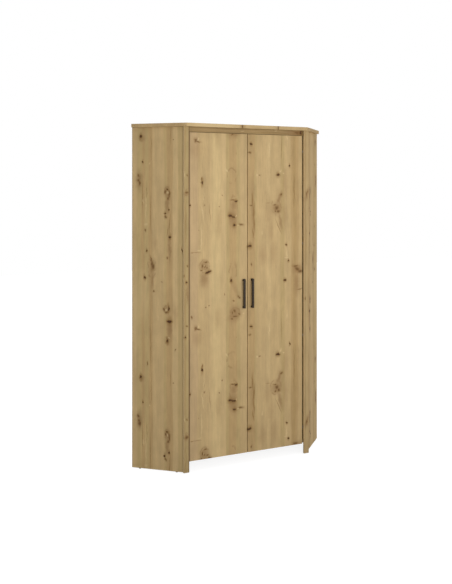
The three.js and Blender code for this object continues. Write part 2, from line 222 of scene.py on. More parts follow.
# The doors share one sheet of decor, which repeats up the doors
DOOR_REPEAT = (1139, 754)  # how long it is, and where one starts between two knots
DOOR_MARKS = {
    "dark": [
        (-314, 1748, 6, 10), (-122, 1543, 15, 7), (-99, 1537, 14, 5), (-92, 1484, 9, 6),
        (-82, 1633, 9, 4, 15), (-396, 1610, 5, 4), (-284, 1195, 10, 5), (-267, 1201, 13, 5, 14),
        (-114, 1142, 7, 7), (15, 1350, 14, 7), (28, 1987, 7, 5), (307, 1857, 4, 5),
        (222, 1797, 13, 6), (223, 1802, 5, 6), (285, 1353, 6, 4), (297, 1252, 6, 5),
        (274, 1127, 9, 5),
    ],
    "soft": [
        (-317, 1772, 4, 9), (-55, 1033, 9, 5, -25), (-98, 1017, 6, 5), (-359, 2004, 8, 12),
        (-342, 1996, 16, 4, -14), (-48, 1488, 16, 6), (-104, 1640, 14, 4), (249, 1676, 8, 7),
        (16, 1937, 9, 5), (23, 1607, 9, 4), (199, 1609, 9, 4), (212, 1590, 11, 11),
        (227, 1568, 9, 9), (205, 1567, 6, 5), (29, 1236, 5, 8), (-290, 1263, 10, 5),
        (-313, 1240, 4, 10), (-296, 1234, 4, 6), (-281, 1226, 5, 5), (-320, 1212, 6, 4),
        (-66, 1042, 8, 5, -40), (-92, 954, 6, 8), (-86, 920, 14, 4), (-57, 934, 5, 6),
        (-108, 942, 4, 8), (-108, 904, 8, 4), (352, 1214, 15, 6), (366, 1193, 20, 8, -35),
        (388, 1180, 15, 8), (384, 1063, 13, 3, 8), (-177, 1671, 3, 4), (-300, 1613, 4, 6),
        (-386, 934, 5, 8), (88, 1795, 4, 3), (-289, 990, 3, 3), (-270, 998, 2, 3),
        (-198, 1598, 3, 3), (-163, 1063, 2, 6),
    ],
    "shades": [
        (-104, 1530, 32, 60), (-98, 1606, 20, 32), (-300, 1236, 32, 38), (-300, 1160, 30, 50),
        (-86, 938, 42, 44), (214, 1586, 38, 40), (232, 1648, 13, 48, -24), (238, 1505, 13, 60, 14),
        (368, 1194, 42, 32), (362, 1100, 20, 70),
    ],
    "faint": [
        (-200, 1506, 24, 100), (-207, 917, 22, 80), (166, 1440, 24, 90), (156, 1560, 28, 90),
        (274, 1738, 26, 90), (40, 1560, 16, 150), (-352, 1945, 44, 52), (-84, 1086, 16, 60, 26),
        (-112, 2046, 36, 24), (110, 1290, 26, 60), (185, 1310, 30, 80), (238, 1650, 34, 60),
        (272, 1540, 20, 80),
    ],
    "lines": [
        (36, 1640, 6, 50, 2), (45, 1560, 8, 62, -4), (47, 1490, 7, 52, 2), (40, 1430, 5, 34, 10),
        (248, 1965, 2, 92), (-354, 1323, 36, 2, -3), (-383, 1322, 10, 4), (-262, 1560, 2, 60, 3),
        (226, 1470, 3, 50, 26), (-300, 1640, 2, 40, -4), (342, 1700, 4, 130), (150, 1620, 18, 2),
        (-339, 1457, 2, 5), (-78, 1928, 1, 8),
    ],
    "arcs": [
        (-102, 1196, 25, 62), (-110, 1790, 34, 48), (-98, 1600, 24, 70), (-296, 1236, 34, 42),
        (-294, 1240, 18, 24), (-88, 938, 34, 34), (206, 1592, 36, 46),
    ],
    "pale": [
        (-66, 1485, 10, 5), (-341, 2012, 6, 9), (-80, 1543, 5, 8), (241, 1822, 4, 14, -24),
        (263, 1805, 6, 4), (-146, 1822, 5, 14, 30), (-301, 1652, 3, 50), (-311, 1560, 3, 60, 8),
        (-319, 1410, 4, 80), (-332, 1335, 14, 3), (286, 1268, 16, 4), (286, 1290, 4, 30),
        (70, 1796, 7, 7), (108, 1434, 3, 14), (288, 900, 4, 16), (-30, 934, 6, 5),
        (-302, 1240, 4, 4), (158, 1960, 4, 40),
    ],
}

# The side panels' sheet repeats too, with places counted forward from the panel's rear edge
SIDE_REPEAT = (1467, 470)
SIDE_MARKS = {
    "dark": [
        (53, 2029, 8, 8), (67, 1876, 4, 5), (228, 1704, 6, 3), (237, 1583, 4, 5), (212, 1561, 5, 5),
        (244, 1417, 7, 7), (93, 1332, 5, 5), (81, 1169, 6, 7), (242, 907, 14, 9), (228, 788, 7, 8),
        (235, 986, 5, 11), (323, 1342, 3, 9),
    ],
    "soft": [
        (37, 1790, 6, 8), (39, 1762, 6, 8), (45, 1744, 7, 14, 8), (206, 979, 5, 8),
        (128, 1254, 6, 14), (214, 1690, 5, 9), (240, 1676, 6, 22), (233, 1652, 6, 9),
        (120, 1282, 5, 16, 14), (136, 1238, 9, 20), (141, 1088, 7, 6), (85, 1458, 4, 8),
        (222, 964, 10, 6), (98, 645, 4, 12), (226, 1291, 4, 6), (191, 1146, 4, 2), (265, 539, 3, 3),
        (279, 738, 3, 5), (216, 1540, 6, 9, 14),
    ],
    "shades": [
        (45, 1766, 20, 60), (226, 1690, 18, 38), (224, 1615, 12, 56), (129, 1238, 16, 44),
        (132, 1158, 9, 56), (243, 1340, 9, 74), (244, 856, 17, 54), (222, 980, 22, 24),
        (230, 790, 20, 26), (60, 2020, 20, 20),
    ],
    "faint": [(147, 1368, 14, 50), (277, 949, 16, 80)],
    "glow": [(22, 960, 32, 250), (66, 1060, 40, 150)],
    "lines": [
        (122, 1960, 2, 110), (118, 1560, 2, 120), (242, 1500, 3, 70, -4), (120, 760, 3, 160),
        (66, 1660, 2, 90), (247, 2030, 2, 50), (228, 1450, 2, 30, -10), (94, 1700, 2, 60),
    ],
    "arcs": [(221, 978, 19, 23), (228, 1694, 18, 26), (128, 1236, 26, 66)],
    "pale": [
        (221, 978, 8, 9), (228, 1686, 5, 8), (72, 1632, 4, 16), (88, 1492, 12, 8),
        (87, 1580, 4, 90), (112, 1862, 4, 6), (166, 926, 3, 16), (240, 806, 5, 5),
    ],
}

STILE_REPEAT = (1467, 400)
STILE_MARKS = {
    "dark": [(-429, 1145, 5, 5), (-436, 816, 5, 5)],
    "soft": [
        (-425, 1686, 8, 6), (-421, 1792, 4, 6), (-421, 1245, 4, 5), (-442, 1186, 4, 7),
        (-424, 884, 6, 4), (431, 1677, 4, 20, -14), (417, 1004, 4, 10),
    ],
    "shades": [(-428, 1686, 12, 22), (430, 1676, 14, 44, -14), (-420, 1080, 8, 60)],
    "lines": [(-430, 1500, 2, 140), (424, 1350, 2, 150)],
    "arcs": [(-426, 1690, 13, 22)],
    "pale": [(-438, 1792, 3, 20)],
}

# On the top rail, whose grain runs level, places are heights and then places to the right
RAIL_MARKS = {
    "dark": [(2071, 392, 12, 8)],
    "soft": [(2068, 366, 10, 22), (2062, 392, 9, 14)],
    "shades": [(2068, 350, 22, 60)],
    "lines": [(2078, -120, 1, 190), (2064, 180, 1, 150)],
    "pale": [(2067, -37, 3, 12), (2074, 206, 3, 10)],
}

# On the boards that lie flat they are places back from the middle, and then to the right
LEVEL_MARKS = {
    "dark": [
        (-478, -50, 10, 8), (-474, 205, 4, 3), (-160, 210, 12, 17), (120, -240, 9, 15),
        (300, 80, 8, 12),
    ],
    "soft": [(-40, -120, 12, 26), (220, 330, 9, 20), (-300, 400, 10, 18), (40, 60, 8, 20)],
    # The last two shades, along the angled side edges, are painted shade, for the less light that falls
    # there
    "shades": [
        (-160, 160, 30, 90), (120, -200, 26, 80), (-60, -300, 30, 120), (-354, 570, 20, 220, -45),
        (-354, -570, 20, 220, 45),
    ],
    "lines": [(-250, 0, 2, 160), (60, 200, 2, 180)],
    "arcs": [(-90, -40, 40, 200), (190, 60, 36, 180)],
    "pale": [(-300, -180, 8, 60), (-474, -250, 26, 190)],
}

BRIGHT = srgb(200, 174, 126)
LIGHT = srgb(195, 168, 122)
MIDDLE = srgb(189, 162, 117)
PINKISH = srgb(188, 160, 119)
OLIVE = srgb(182, 157, 110)
BROWN = srgb(179, 150, 105)
SHADED = srgb(171, 143, 98)
KNOT_HEART = srgb(62, 40, 28)
KNOT_WOOD = srgb(104, 74, 48)
KNOT_HALO = srgb(138, 106, 62)
SOFT_KNOT = srgb(112, 80, 48)
SHADE_TONE = srgb(146, 115, 78)
LINE_TONE = srgb(132, 102, 58)
PALE_TONE = srgb(214, 189, 142)
# painted shadow: the tone of the shade beside the left door's outer edge and on the left stile's inner edge
PAINTED_SHADOW_TONE = srgb(84, 62, 38)

# Bands along the boards' upright edges: the middle across, half the width, the strength and the tone.
# All of them are painted light and shade. There is a painted shadow on the left door by its outer edge,
# where the left stile stands proud, and a painted shadow line on that stile's inner edge. There is painted
# light on the left stile's outer end, the right stile's inner face and the side panels' front ends, which
# lie in shade.
DOOR_PAINTED_SHADOW = [(-405, 12, 0.55, PAINTED_SHADOW_TONE)]
# painted shadow on the left stile's inner edge, painted light on its outer end and on the right stile's
# inner face
STILE_PAINTED_LIGHT_AND_SHADOW = [(-409, 4, 0.9, PAINTED_SHADOW_TONE), (-446, 4, 0.9, PALE_TONE), (407, 3, 0.9, PALE_TONE)]
# painted light on the side panels' front ends, in the shade beside the stiles
SIDE_PAINTED_LIGHT = [(326, 22, 0.6, BRIGHT)]

# Planks of the decor: where each one's left edge lies, and its tone
DOOR_PLANKS = [
    (-405, PINKISH), (-345, MIDDLE), (-266, LIGHT), (-245, BRIGHT), (-190, LIGHT), (-152, OLIVE),
    (-130, BROWN), (-76, OLIVE), (-50, MIDDLE), (0, BROWN), (52, OLIVE), (66, MIDDLE), (140, LIGHT),
    (168, MIDDLE), (240, OLIVE), (270, MIDDLE), (318, BROWN), (334, SHADED), (358, BROWN),
    (374, MIDDLE),
]
SIDE_PLANKS = [
    (-20, MIDDLE), (30, OLIVE), (62, BROWN), (80, OLIVE), (104, BROWN), (130, MIDDLE), (206, OLIVE),
    (222, BROWN), (262, LIGHT), (296, OLIVE), (330, SHADED),
]
STILE_PLANKS = [
    (-450, SHADED), (-434, OLIVE), (-412, SHADED), (0, BROWN), (409, BROWN), (420, MIDDLE),
    (440, BROWN),
]
LEVEL_PLANKS = [
    (-480, MIDDLE), (-390, LIGHT), (-250, MIDDLE), (-140, OLIVE), (-20, LIGHT), (110, MIDDLE),
    (240, BROWN), (340, MIDDLE), (460, OLIVE),
]
RAIL_PLANKS = [(2050, SHADED), (2064, BROWN), (2076, SHADED)]
PLANK_ROOM = 60  # past the last plank's edge
PLANK_CHANGE = 4  # half the band in which one plank's tone goes over to the next one's


def board_point(shader, across, up, deep, start=(0, 0, 0), mirrored=False):
    """The place on a board: across the grain, along it and through the board."""
    point = shader.point()
    if mirrored:
        right, back, height = shader.split(point)
        point = shader.joined(shader.math("ABSOLUTE", right), back, height)
    point = shader.vector("SUBTRACT", point, start)
    return shader.joined(*(shader.vector("DOT_PRODUCT", point, axis) for axis in (across, up, deep)))


def from_middle(shader, point, mark, lengthened=1.0):
    """How far a point lies from a mark's middle, in the mark's own half sizes."""
    across, up, half_width, half_height, *lean = mark
    half_height *= lengthened
    if not lean:
        scale = (1 / half_width, 1 / half_height, 0)
        shift = (-across / half_width, -up / half_height, 0)
        return shader.vector("LENGTH", shader.vector("MULTIPLY_ADD", point, scale, shift))
    turn = math.radians(lean[0])
    places = []
    for angle, half_size in ((turn, half_width), (turn + math.pi / 2, half_height)):
        axis = (math.cos(angle) / half_size, math.sin(angle) / half_size, 0)
        along = shader.vector("DOT_PRODUCT", point, axis)
        places.append(shader.math("SUBTRACT", along, across * axis[0] + up * axis[1]))
    return shader.vector("LENGTH", shader.joined(*places))


FAR_OFF = 99  # in half sizes of a mark


def nearest(shader, point, marks, lengthened=1.0, rims=False):
    """How far a point lies from the nearest mark's middle or rim, in that mark's own half sizes."""
    closest = FAR_OFF
    for mark in marks:
        off = from_middle(shader, point, mark, lengthened)
        if rims:
            off = shader.math("ABSOLUTE", shader.math("SUBTRACT", off, 1))
        closest = shader.math("MINIMUM", closest, off)
    return closest


MARK_REACH = 3  # how far a mark may show, in half sizes from its middle


def one_sheet(marks, repeat, start):
    """The marks brought into one repeat of the decor, with those near its ends at both ends."""
    copies = []
    for across, up, half_width, half_height, *lean in marks:
        reach = MARK_REACH * max(half_height, half_width if lean else 0)
        middle = start + (up - start) % repeat
        for place in (middle - repeat, middle, middle + repeat):
            if start - reach < place < start + repeat + reach:
                copies.append((across, place, half_width, half_height, *lean))
    return copies


def span_of(planks):
    """Where the planks start, and how wide they are together."""
    low = planks[0][0]
    return low, planks[-1][0] - low + PLANK_ROOM


def plank_tones(shader, across, planks):
    """One tone for each plank, with each change spread over a narrow band."""
    low, span = span_of(planks)
    stops = [(0.0, planks[0][1])]
    for (_, before), (edge, tone) in zip(planks, planks[1:]):
        stops.append(((edge - low - PLANK_CHANGE) / span, before))
        stops.append(((edge - low + PLANK_CHANGE) / span, tone))
    return shader.ramp(shader.scaled(across, low, low + span, 0, 1), stops)


GOLDEN_SHARE = 0.618  # spreads the planks' own values evenly
PITH_SPREAD = 2  # in plank widths, about the plank's middle
DEPTH_STEP = 7  # these two turn a plank's first value into two more
SHIFT_STEP = 3


def plank_seeds(shader, across, planks):
    """Three values for each plank: where its pith lies across, how deep, and a shift of its figure."""
    low, span = span_of(planks)
    edges = [edge for edge, _ in planks] + [low + span]
    stops = []
    for index, (left, right) in enumerate(zip(edges, edges[1:])):
        spread = (index * GOLDEN_SHARE) % 1
        off_middle = PITH_SPREAD * (spread - 0.5) + 0.5
        pith = (left + (right - left) * off_middle - low) / span
        seeds = (pith, (spread * DEPTH_STEP) % 1, (spread * SHIFT_STEP) % 1, 1)
        stops.append(((left - low) / span, seeds))
    place = shader.scaled(across, low, low + span, 0, 1)
    seeds = shader.add("SeparateColor", {0: shader.ramp(place, stops, "CONSTANT")}).outputs
    return shader.scaled(seeds[0], 0, 1, low, low + span), seeds[1], seeds[2]


RING_WIDTH = 6.5
PITH_SLOPE_SHARE = 0.035  # how far the pith leans away from the board's face, along the grain
PITH_LEAST_DEPTH = -40
PITH_DEPTH_SPREAD = 60
RING_WANDER = 26
RING_SHIFT = 20  # radians, at most
LATE_WOOD_FROM = -0.1  # the sine at which a ring starts to darken


def growth_rings(shader, across, up, wander, planks):
    """Growth rings cut by the board's face: straight lines at its flanks and arches over the pith."""
    pith, deep, shift = plank_seeds(shader, across, planks)
    side = shader.math("SUBTRACT", across, pith)
    below = shader.math("MULTIPLY_ADD", up, PITH_SLOPE_SHARE, PITH_LEAST_DEPTH)
    below = shader.math("MULTIPLY_ADD", deep, PITH_DEPTH_SPREAD, below)
    radius = shader.vector("LENGTH", shader.joined(side, below, 0))
    radius = shader.math("MULTIPLY_ADD", wander, RING_WANDER, radius)
    shifted = shader.math("MULTIPLY", shift, RING_SHIFT)
    phase = shader.math("MULTIPLY_ADD", radius, math.tau / RING_WIDTH, shifted)
    return shader.smooth(shader.math("SINE", phase), LATE_WOOD_FROM, 1.0)


# Streaks along the grain: their width and length, a seed, the noise's detail and its roughness
GRAIN_WANDER = (90, 420, 3.1, 2)
RING_WAVES = (40, 300, 7.7, 3, 0.55)
RING_STRETCHES = (70, 500, 5.5, 1)
PORES = (0.55, 14, 2.2, 2)
RIM_STRETCHES = (30, 40, 6.1, 2)
KNOT_MOTTLE = (5, 5, 8.8, 2)

# Broad, middling and fine streaks, and blotches: the same, after how far they shade the wood
SHADING = [(0.05, 26, 460, 9.1, 2, 0.55), (0.035, 9, 150, 4.4, 3, 0.6), (0.03, 2.4, 70, 1.3, 3, 0.65),
           (0.07, 55, 120, 6.6, 3, 0.6)]
FINE = 2

GRAIN_REACH = 30  # how far the grain wanders from side to side, in all
LUMP_SCALE = (0.032, 0.026, 0.02)  # lumps in each millimetre, across, along and through the board
LUMP_NOISE = (4, 0.65, "Color")
KNOT_RAGGEDNESS = (30, 24, 0)  # how far lumps push the marks' outlines, in all
LINE_RAGGEDNESS = (14, 0, 0)
RING_CONTRAST = (0.35, 0.7, 0.01, 0.055)  # from these values of the stretches, to these contrasts
EARLY_WOOD = 1.015
PORE_FROM = (0.62, 0.74)
PORE_SHADE = 0.86
PORE_DEPTH = -0.7
RIM_SHOWN = (0.42, 0.6)
MOTTLE_RANGE = (0.4, 0.62)
OAK_ROUGHNESS = (0.6, 0.74)
OAK_SPECULAR = 0.1
OAK_BUMP = (0.25, 0.0002)

# How marks show: in half sizes from their middle or rim, up to where they have their full strength and
# where they end, and that strength
PATCHES = [("faint", SHADE_TONE, 0.1, 1.6, 0.3), ("glow", PALE_TONE, 0.1, 1.6, 0.3),
           ("shades", SHADE_TONE, 0.1, 1.6, 0.7)]
RIM_FADE = (0.0, 0.22, 0.5)
LINE_FADE = (0.1, 1.5, 0.7)
PALE_FADE = (0.2, 1.5, 0.6)
SOFT_HALO = (0.5, 2.4, 0.5)
SOFT_HEART = (0.3, 1.35, 0.75)
LONG_HALO = (0.6, 2.2, 0.55)
HALO = (0.9, 1.9, 0.75)
HEART = (0.7, 1.3, 1.0)
LONG_HALO_LENGTH = 2.2  # to its knot's own


def pushed(shader, point, lumps, reach):
    """The point moved by noise, as much one way as the other."""
    back = tuple(-part / 2 for part in reach)
    return shader.vector("ADD", point, shader.vector("MULTIPLY_ADD", lumps, reach, back))


def oak(name, axes, planks, marks, repeat=None, start=(0, 0, 0), mirrored=False, tint=1.0, edges=()):
    """Knotty oak decor foil: planks, growth figure, streaks, pores and knots, faintly embossed."""
    if repeat:
        marks = {kind: one_sheet(rows, *repeat) for kind, rows in marks.items()}
    shader = Shader(bpy.data.materials.new(name))
    point = board_point(shader, *axes, start, mirrored)
    across, up, _ = shader.split(point)
    in_sheet = shader.math("WRAP", up, sum(repeat), repeat[1]) if repeat else up
    flat = shader.joined(across, in_sheet, 0)

    # Ragged outlines for the marks
    lumps = shader.noise(shader.vector("MULTIPLY", point, LUMP_SCALE), *LUMP_NOISE)
    knot_point = pushed(shader, flat, lumps, KNOT_RAGGEDNESS)
    line_point = pushed(shader, flat, lumps, LINE_RAGGEDNESS)

    def distance(kind, place=knot_point, **how):
        return nearest(shader, place, marks.get(kind, ()), **how)

    # Planks, along a grain that wanders slowly
    wander = shader.streaks(point, *GRAIN_WANDER)
    wandering = shader.math("MULTIPLY_ADD", wander, GRAIN_REACH, -GRAIN_REACH / 2)
    sideways = shader.math("ADD", across, wandering)
    colour = plank_tones(shader, sideways, planks)

    # Growth figure, stronger in some stretches than in others
    rings = growth_rings(shader, sideways, up, shader.streaks(point, *RING_WAVES), planks)
    contrast = shader.smooth(shader.streaks(point, *RING_STRETCHES), *RING_CONTRAST)
    ring_shade = shader.math("SUBTRACT", EARLY_WOOD, shader.math("MULTIPLY", rings, contrast))

    # Streaks, blotches and pores, and then the bands of painted light and painted shade along the edges
    noises = [shader.streaks(point, *streaks) for _, *streaks in SHADING]
    shades = [shader.shade(noise, spread) for noise, (spread, *_) in zip(noises, SHADING)]
    pore_mark = shader.smooth(shader.streaks(point, *PORES), *PORE_FROM)
    pores = shader.scaled(pore_mark, 0, 1, 1.0, PORE_SHADE)
    colour = shader.shaded(colour, ring_shade, *shades, pores, tint)
    for middle, half_width, strength, tone in edges:
        off = shader.math("ABSOLUTE", shader.math("SUBTRACT", across, middle))
        colour = shader.stain(colour, tone, off, half_width / 2, half_width, strength)

    # Patches, rims and lines
    for kind, tone, *fade in PATCHES:
        colour = shader.stain(colour, tone, distance(kind), *fade)
    shown = shader.smooth(shader.streaks(point, *RIM_STRETCHES), *RIM_SHOWN)
    rim = shader.smooth(distance("arcs", rims=True), *RIM_FADE, 0.0)
    colour = shader.mix(shader.math("MULTIPLY", shown, rim), colour, SHADE_TONE)
    colour = shader.stain(colour, LINE_TONE, distance("lines", line_point), *LINE_FADE)

    # Knots with a mottled heart, in halos that the dark ones draw out along the grain
    mottle = shader.smooth(shader.streaks(point, *KNOT_MOTTLE), *MOTTLE_RANGE)
    soft = distance("soft")
    dark = distance("dark")
    colour = shader.stain(colour, KNOT_HALO, soft, *SOFT_HALO)
    colour = shader.stain(colour, shader.mix(mottle, KNOT_WOOD, SOFT_KNOT), soft, *SOFT_HEART)
    colour = shader.stain(colour, KNOT_HALO, distance("dark", lengthened=LONG_HALO_LENGTH), *LONG_HALO)
    colour = shader.stain(colour, KNOT_HALO, dark, *HALO)
    colour = shader.stain(colour, PALE_TONE, distance("pale"), *PALE_FADE)
    colour = shader.stain(colour, shader.mix(mottle, KNOT_HEART, KNOT_WOOD), dark, *HEART)

    height = shader.math("MULTIPLY_ADD", pore_mark, PORE_DEPTH, noises[FINE])
    return shader.finish(
        Base_Color=colour,
        Roughness=shader.scaled(noises[FINE], *NOISE_RANGE, *OAK_ROUGHNESS),
        Specular_IOR_Level=OAK_SPECULAR,
        Normal=shader.bump(height, *OAK_BUMP),
    )


# Where the grain runs on the boards: across it, along it and through the board
UPRIGHT = ((1, 0, 0), (0, 0, 1), (0, 1, 0))
SIDEWAYS = ((-DIAGONAL, -DIAGONAL, 0), (0, 0, 1), (-DIAGONAL, DIAGONAL, 0))
ALONG_RAIL = ((0, 0, 1), (1, 0, 0), (0, 1, 0))
LEVEL = ((0, 1, 0), (1, 0, 0), (0, 0, 1))

# How much lighter or darker than the doors' sheet the other boards' decor is. The rail's is partly a
# darker decor tone and partly painted shade, for the shadow under the top panel's overhang
SIDE_TINT = 1.07
STILE_TINT = 0.88
# partly darker decor, partly painted shade under the top panel's overhang
RAIL_TINT_AND_SHADE = 0.8


def corners_of(node):
    return [vertex.co for vertex in frame["nodes"][node].data.vertices]


# Specks: how many in each millimetre, the noise's detail and its roughness
FIBRES = (0.35, 4, 0.65)
FIBRE_MOTTLE = (0.03, 4, 0.65)
CLOUDS = (0.01, 3, 0.5)
WEAR = (0.05, 3, 0.6)
METAL_GRAIN = (1.6, 3, 0.6)

FIBRE_TONES = [(0.3, srgb(128, 98, 64)), (0.5, srgb(150, 118, 80)), (0.75, srgb(168, 137, 98))]
ROLLER_STREAKS = (45, 900, 7.2, 2, 0.55)
PRINTED_STREAKS = (14, 420, 4.4, 3, 0.6)
PRINTED_FINE_STREAKS = (2.2, 90, 1.3, 3, 0.6)
CLOUD_SPREAD = 0.08
MOTTLE_SPREAD = 0.05
PRINTED_SPREAD = 0.05
ROLLER_SPREAD = 0.045
FACE_DEPTH = 1  # less than the panels' thickness
HARDBOARD_ROUGHNESS = 0.8
HARDBOARD_BUMP = (0.3, 0.0003)


def hardboard():
    """Bare brown fibre board outside, and the oak decor's tone inside."""
    shader = Shader(bpy.data.materials.new("hardboard"))
    point = shader.point()
    across, back, height = shader.split(point)
    upright = shader.joined(across, height, back)
    fibre = shader.specks(point, *FIBRES)
    bare = shader.ramp(fibre, FIBRE_TONES)
    decor = shader.mix(shader.smooth(shader.streaks(upright, *PRINTED_STREAKS), *NOISE_RANGE), OLIVE, LIGHT)
    fine = shader.streaks(upright, *PRINTED_FINE_STREAKS)
    decor = shader.shaded(decor, shader.shade(fine, PRINTED_SPREAD))
    # Seen from above, the panels' outer faces lie on two lines that meet at the rear corner
    outer_line = max(corner.x + corner.y for corner in corners_of("right_back_panel")) / MM
    line = shader.math("ADD", shader.math("ABSOLUTE", across), back)
    outside = shader.math("GREATER_THAN", line, outer_line - FACE_DEPTH)
    cloud = shader.shade(shader.specks(point, *CLOUDS), CLOUD_SPREAD)
    mottle = shader.shade(shader.specks(point, *FIBRE_MOTTLE), MOTTLE_SPREAD)
    rolled = shader.shade(shader.streaks(upright, *ROLLER_STREAKS), ROLLER_SPREAD)
    return shader.finish(
        Base_Color=shader.shaded(shader.mix(outside, decor, bare), cloud, mottle, rolled),
        Roughness=HARDBOARD_ROUGHNESS,
        Normal=shader.bump(fibre, *HARDBOARD_BUMP),
    )


GLOSS_SPREAD = 0.05
METAL_BUMP = (0.06, 0.0001)


def plain_material(name, colour, roughness, metallic, spread, specular):
    """A metal or plastic with slight unevenness in its tone, gloss and surface."""
    shader = Shader(bpy.data.materials.new(name))
    point = shader.point()
    uneven = shader.specks(point, *WEAR)
    grain = shader.specks(point, *METAL_GRAIN)
    return shader.finish(
        Base_Color=shader.shaded(colour, shader.shade(uneven, spread)),
        Metallic=metallic,
        Specular_IOR_Level=specular,
        Roughness=shader.scaled(grain, *NOISE_RANGE, roughness - GLOSS_SPREAD, roughness + GLOSS_SPREAD),
        Normal=shader.bump(grain, *METAL_BUMP),
    )


# The fittings' finishes: colour, roughness, metallic, how far the tone varies, and specular level
FITTING_LOOKS = {
    "dark_metal": (srgb(46, 35, 24), 0.5, 0.0, 0.08, 0.2),
    "nickel": (srgb(190, 187, 181), 0.28, 1.0, 0.05, 0.5),
    "chrome": (srgb(212, 213, 214), 0.12, 1.0, 0.02, 0.5),
    "black_plastic": (srgb(34, 33, 32), 0.55, 0.0, 0.1, 0.5),
    "clear_plastic": (srgb(214, 211, 203), 0.3, 0.0, 0.03, 0.5),
}
FINISHES = {name: plain_material(name, *look) for name, look in FITTING_LOOKS.items()}
SLOT_OF = {row["node"]: row["material_slot"] for row in frame["record"]["subparts"]}
BODIES = frame["record"]["behaviour"]["bodies"]
BODY_OF = {node: body for body, members in BODIES.items() for node in members}


def dress(nodes, material):
    """Gives CAD nodes a finish, in place of the plain one that they were packed with."""
    for name in nodes:
        for slot in frame["nodes"][name].material_slots:
            slot.material = material


def dress_nodes():
    rear = max(corners_of("right_side_panel"), key=lambda corner: corner.x)
    side_look = {"start": (rear.x / MM, rear.y / MM, 0), "mirrored": True}
    # The edge bands are painted light on the side panels, and painted light and shade on the stiles and
    # doors
    side_look |= {"tint": SIDE_TINT, "edges": SIDE_PAINTED_LIGHT}
    stile_look = {"tint": STILE_TINT, "edges": STILE_PAINTED_LIGHT_AND_SHADOW}
    door = oak("door_oak", UPRIGHT, DOOR_PLANKS, DOOR_MARKS, DOOR_REPEAT, edges=DOOR_PAINTED_SHADOW)
    dress(["left_door", "right_door"], door)
    side = oak("side_oak", SIDEWAYS, SIDE_PLANKS, SIDE_MARKS, SIDE_REPEAT, **side_look)
    dress(["left_side_panel", "right_side_panel"], side)
    stile = oak("stile_oak", UPRIGHT, STILE_PLANKS, STILE_MARKS, STILE_REPEAT, **stile_look)
    dress(["left_stile", "right_stile", "rear_corner_board"], stile)
    dress(["top_rail"], oak("rail_oak", ALONG_RAIL, RAIL_PLANKS, RAIL_MARKS, tint=RAIL_TINT_AND_SHADE))
    dress(["top_panel", "floor_panel", "hat_shelf"], oak("level_oak", LEVEL, LEVEL_PLANKS, LEVEL_MARKS))
    dress(["left_back_panel", "right_back_panel"], hardboard())
    for node, slot in SLOT_OF.items():
        if slot in FINISHES:
            dress([node], FINISHES[slot])


SMOOTH_BELOW = math.radians(35)  # edges with a smaller angle are shaded smooth


def add_piece(name, node, build, *stands_for, material=None):
    """A piece in mesh code, with a CAD node's body and slot. build fills a bmesh, in metres at rest."""
    body = BODY_OF[node]
    slot = SLOT_OF[node]
    shape = bmesh.new()
    build(shape)
    bmesh.ops.recalc_face_normals(shape, faces=shape.faces)
    mesh = bpy.data.meshes.new(name)
    shape.to_mesh(mesh)
    shape.free()
    mesh.shade_smooth()
    mesh.set_sharp_from_angle(angle=SMOOTH_BELOW)
    mesh.materials.append(material or FINISHES[slot])
    piece = add_object(name, mesh)
    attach(piece, body)
    if stands_for:
        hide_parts(*stands_for)
    return piece


def round_edges(shape, edges, rounding, steps, clamped=False):
    offset = rounding * MM
    bmesh.ops.bevel(shape, geom=edges, offset=offset, segments=steps, profile=0.5, affect="EDGES",
                    clamp_overlap=clamped)


CORNER_WELD = 0.01
ROUNDING_STEPS = 3


def add_rounded(node, rounding):
    """A copy of a CAD node, in the finish that it has, with its edges rounded. It stands for the node."""
    original = frame["nodes"][node]

    def build(shape):
        shape.from_mesh(original.data)
        bmesh.ops.remove_doubles(shape, verts=shape.verts, dist=CORNER_WELD * MM)
        edges = [edge for edge in shape.edges if edge.calc_face_angle(0) > SMOOTH_BELOW]
        round_edges(shape, edges, rounding, ROUNDING_STEPS, clamped=True)

    finish = original.material_slots[0].material
    piece = add_piece(f"{node}_rounded", node, build, node, material=finish)
    piece.modifiers.new("flat_faces", "WEIGHTED_NORMAL").keep_sharp = True


BOARD_ROUNDING = 0.8
BOARDS = [
    "left_door", "right_door", "left_side_panel", "right_side_panel", "left_stile", "right_stile",
    "rear_corner_board", "top_rail", "top_panel", "floor_panel", "hat_shelf",
]


def reach(corners, direction):
    """The lowest and highest place of some points along a direction."""
    places = [corner.dot(direction) for corner in corners]
    return min(places), max(places)


def middle_of(node):
    low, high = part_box(node)
    return (low + high) / 2


def placed(start, turn):
    """A matrix from millimetres about a place to metres in the frame."""
    return Matrix.Translation(start) @ turn.to_4x4() @ Matrix.Scale(MM, 4)


def axis_from(start, direction):
    """The same for an axis, with the third coordinate along it."""
    return placed(start, direction.to_track_quat("Z", "Y").to_matrix())


def axis_of(node, direction):
    """The axis of a round CAD node: its matrix from the node's near end, its length and its radius."""
    corners = corners_of(node)
    low, high = reach(corners, direction)
    across = direction.orthogonal().normalized()
    near, far = reach(corners, across)
    start = middle_of(node) - direction * (high - low) / 2
    return axis_from(start, direction), (high - low) / MM, (far - near) / 2 / MM


SEGMENTS = 48
RAIL_SEGMENTS = 64
SCREW_SEGMENTS = 24
PIN_SEGMENTS = 16


def arc(middle, radius, first, last, steps):
    """Points along a circle, from one angle to another in degrees."""
    angles = [math.radians(first + (last - first) * step / steps) for step in range(steps + 1)]
    return [(middle[0] + radius * math.cos(a), middle[1] + radius * math.sin(a)) for a in angles]


def add_points(shape, matrix, points, height):
    return [shape.verts.new(matrix @ Vector((x, y, height))) for x, y in points]


